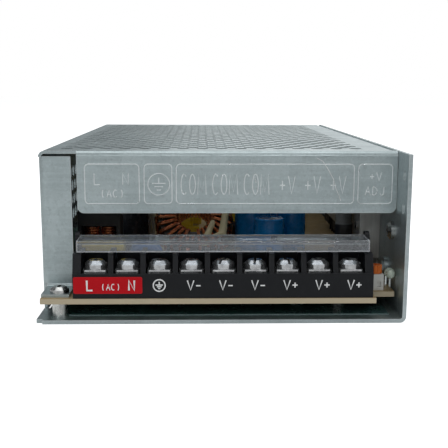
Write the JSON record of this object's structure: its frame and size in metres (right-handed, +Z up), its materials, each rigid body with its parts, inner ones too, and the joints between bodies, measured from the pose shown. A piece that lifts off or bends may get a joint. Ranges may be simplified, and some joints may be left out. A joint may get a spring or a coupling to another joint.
{
  "type": "mesh case switching power supply",
  "caption": "Enclosed switching power supply with a perforated steel cover, screw terminals and a hinged clear terminal cover.",
  "frame": {"origin": "bottom centre of the bounding box", "axes": "+Y from the terminal end to the rear panel, +Z up from the floor, +X towards the plain side wall"},
  "size_m": [0.11, 0.2, 0.05],
  "materials": {
    "galvanised_sheet": "spangled zinc coating, dull satin",
    "plated_screws": "bright zinc plating",
    "brass_spacer": "nickel plated",
    "clear_film": "milky polyester film",
    "board": "paper laminate, tan",
    "black_moulding": "moulded, fine grain",
    "tinned_contacts": "tinned",
    "red_label": "printed film",
    "clear_cover": "clear polycarbonate",
    "white_moulding": "moulded",
    "orange_moulding": "moulded",
    "lamp_lens": "milky lens",
    "fuse_glass": "glass tube and nickel caps",
    "green_coating": "dipped",
    "yellow_case": "moulded box",
    "blue_coating": "dipped",
    "ferrite": "sintered, dark grey",
    "enamelled_wire": "copper enamel",
    "black_resin": "moulded resin",
    "black_sleeve": "shrunk sleeve",
    "yellow_tape": "polyester tape",
    "core_paint": "painted iron powder",
    "cream_glue": "set silicone",
    "blue_sleeve": "shrunk sleeve",
    "resistor_coat": "lacquer",
    "grey_pad": "silicone cloth",
    "aluminium_bar": "extruded, satin",
    "red_moulding": "moulded"
  },
  "bodies": {
    "case": {"chassis": "galvanised_sheet", "mesh_cover": "galvanised_sheet", "insulating_film": "clear_film", "circuit_board": "board", "spacers": "brass_spacer", "board_screws": "plated_screws", "case_screws": "plated_screws", "terminal_block": "black_moulding", "terminal_plates": "tinned_contacts", "marker_strip": "red_label", "trimmer_body": "white_moulding", "indicator_lamp": "lamp_lens", "mains_fuse": "fuse_glass", "inrush_thermistor": "green_coating", "mains_capacitor": "yellow_case", "disc_capacitors": "blue_coating", "filter_choke_core": "black_resin", "filter_choke_windings": "enamelled_wire", "bridge_rectifier": "black_resin", "bulk_capacitors": "black_sleeve", "transformer_core": "ferrite", "transformer_winding": "yellow_tape", "transformer_bobbin": "black_moulding", "transformer_tape": "yellow_tape", "driver_transformer": "yellow_tape", "output_choke_core": "core_paint", "output_choke_winding": "enamelled_wire", "choke_glue": "cream_glue", "output_capacitors": "blue_sleeve", "small_capacitors": "blue_sleeve", "control_chip": "black_resin", "resistors": "resistor_coat", "power_devices": "black_resin", "insulating_pad": "grey_pad", "clamp_bar": "aluminium_bar", "clamp_screws": "plated_screws", "selector_body": "black_moulding"},
    "terminal_cover": {"terminal_cover": "clear_cover"},
    "trimmer_knob": {"trimmer_knob": "orange_moulding"},
    "selector_slider": {"selector_slider": "red_moulding"},
    "clamp_washer_1": {"clamp_washer_1": "plated_screws"},
    "clamp_washer_2": {"clamp_washer_2": "plated_screws"},
    "clamp_washer_3": {"clamp_washer_3": "plated_screws"},
    "clamp_washer_4": {"clamp_washer_4": "plated_screws"},
    "clamp_washer_5": {"clamp_washer_5": "plated_screws"},
    "clamp_washer_6": {"clamp_washer_6": "plated_screws"},
    "clamp_washer_7": {"clamp_washer_7": "plated_screws"},
    "clamp_washer_8": {"clamp_washer_8": "plated_screws"},
    "clamp_washer_9": {"clamp_washer_9": "plated_screws"},
    "terminal_screw_1": {"terminal_screw_1": "plated_screws"},
    "terminal_screw_2": {"terminal_screw_2": "plated_screws"},
    "terminal_screw_3": {"terminal_screw_3": "plated_screws"},
    "terminal_screw_4": {"terminal_screw_4": "plated_screws"},
    "terminal_screw_5": {"terminal_screw_5": "plated_screws"},
    "terminal_screw_6": {"terminal_screw_6": "plated_screws"},
    "terminal_screw_7": {"terminal_screw_7": "plated_screws"},
    "terminal_screw_8": {"terminal_screw_8": "plated_screws"},
    "terminal_screw_9": {"terminal_screw_9": "plated_screws"}
  },
  "joints": [
    {"name": "cover_hinge", "type": "hinge", "parent": "case", "child": "terminal_cover", "pos_m": [0.0005, -0.0886, 0.0236], "axis": [-1, 0, 0], "range_deg": [0, 90]},
    {"name": "trimmer_turn", "type": "hinge", "parent": "case", "child": "trimmer_knob", "pos_m": [0.0477, -0.0874, 0.0127], "axis": [0, 0, 1], "range_deg": [-130, 130]},
    {"name": "selector_slide", "type": "slide", "parent": "case", "child": "selector_slider", "axis": [0, 1, 0], "range_m": [0, 0.005]},
    {"name": "washer_1_lift", "type": "slide", "parent": "case", "child": "clamp_washer_1", "axis": [0, 0, 1], "range_m": [0, 0.003]},
    {"name": "screw_1_turn", "type": "hinge", "parent": "clamp_washer_1", "child": "terminal_screw_1", "pos_m": [-0.0375, -0.0939, 0.0158], "axis": [0, 0, 1], "range_deg": [0, 1800]},
    {"name": "washer_2_lift", "type": "slide", "parent": "case", "child": "clamp_washer_2", "axis": [0, 0, 1], "range_m": [0, 0.003]},
    {"name": "screw_2_turn", "type": "hinge", "parent": "clamp_washer_2", "child": "terminal_screw_2", "pos_m": [-0.028, -0.0939, 0.0158], "axis": [0, 0, 1], "range_deg": [0, 1800]},
    {"name": "washer_3_lift", "type": "slide", "parent": "case", "child": "clamp_washer_3", "axis": [0, 0, 1], "range_m": [0, 0.003]},
    {"name": "screw_3_turn", "type": "hinge", "parent": "clamp_washer_3", "child": "terminal_screw_3", "pos_m": [-0.0185, -0.0939, 0.0158], "axis": [0, 0, 1], "range_deg": [0, 1800]},
    {"name": "washer_4_lift", "type": "slide", "parent": "case", "child": "clamp_washer_4", "axis": [0, 0, 1], "range_m": [0, 0.003]},
    {"name": "screw_4_turn", "type": "hinge", "parent": "clamp_washer_4", "child": "terminal_screw_4", "pos_m": [-0.009, -0.0939, 0.0158], "axis": [0, 0, 1], "range_deg": [0, 1800]},
    {"name": "washer_5_lift", "type": "slide", "parent": "case", "child": "clamp_washer_5", "axis": [0, 0, 1], "range_m": [0, 0.003]},
    {"name": "screw_5_turn", "type": "hinge", "parent": "clamp_washer_5", "child": "terminal_screw_5", "pos_m": [0.0005, -0.0939, 0.0158], "axis": [0, 0, 1], "range_deg": [0, 1800]},
    {"name": "washer_6_lift", "type": "slide", "parent": "case", "child": "clamp_washer_6", "axis": [0, 0, 1], "range_m": [0, 0.003]},
    {"name": "screw_6_turn", "type": "hinge", "parent": "clamp_washer_6", "child": "terminal_screw_6", "pos_m": [0.01, -0.0939, 0.0158], "axis": [0, 0, 1], "range_deg": [0, 1800]},
    {"name": "washer_7_lift", "type": "slide", "parent": "case", "child": "clamp_washer_7", "axis": [0, 0, 1], "range_m": [0, 0.003]},
    {"name": "screw_7_turn", "type": "hinge", "parent": "clamp_washer_7", "child": "terminal_screw_7", "pos_m": [0.0195, -0.0939, 0.0158], "axis": [0, 0, 1], "range_deg": [0, 1800]},
    {"name": "washer_8_lift", "type": "slide", "parent": "case", "child": "clamp_washer_8", "axis": [0, 0, 1], "range_m": [0, 0.003]},
    {"name": "screw_8_turn", "type": "hinge", "parent": "clamp_washer_8", "child": "terminal_screw_8", "pos_m": [0.029, -0.0939, 0.0158], "axis": [0, 0, 1], "range_deg": [0, 1800]},
    {"name": "washer_9_lift", "type": "slide", "parent": "case", "child": "clamp_washer_9", "axis": [0, 0, 1], "range_m": [0, 0.003]},
    {"name": "screw_9_turn", "type": "hinge", "parent": "clamp_washer_9", "child": "terminal_screw_9", "pos_m": [0.0385, -0.0939, 0.0158], "axis": [0, 0, 1], "range_deg": [0, 1800]}
  ],
  "couplings": [
    {"joint": "screw_1_turn", "follows": "washer_1_lift", "rad_per_m": 10472},
    {"joint": "screw_2_turn", "follows": "washer_2_lift", "rad_per_m": 10472},
    {"joint": "screw_3_turn", "follows": "washer_3_lift", "rad_per_m": 10472},
    {"joint": "screw_4_turn", "follows": "washer_4_lift", "rad_per_m": 10472},
    {"joint": "screw_5_turn", "follows": "washer_5_lift", "rad_per_m": 10472},
    {"joint": "screw_6_turn", "follows": "washer_6_lift", "rad_per_m": 10472},
    {"joint": "screw_7_turn", "follows": "washer_7_lift", "rad_per_m": 10472},
    {"joint": "screw_8_turn", "follows": "washer_8_lift", "rad_per_m": 10472},
    {"joint": "screw_9_turn", "follows": "washer_9_lift", "rad_per_m": 10472}
  ]
}
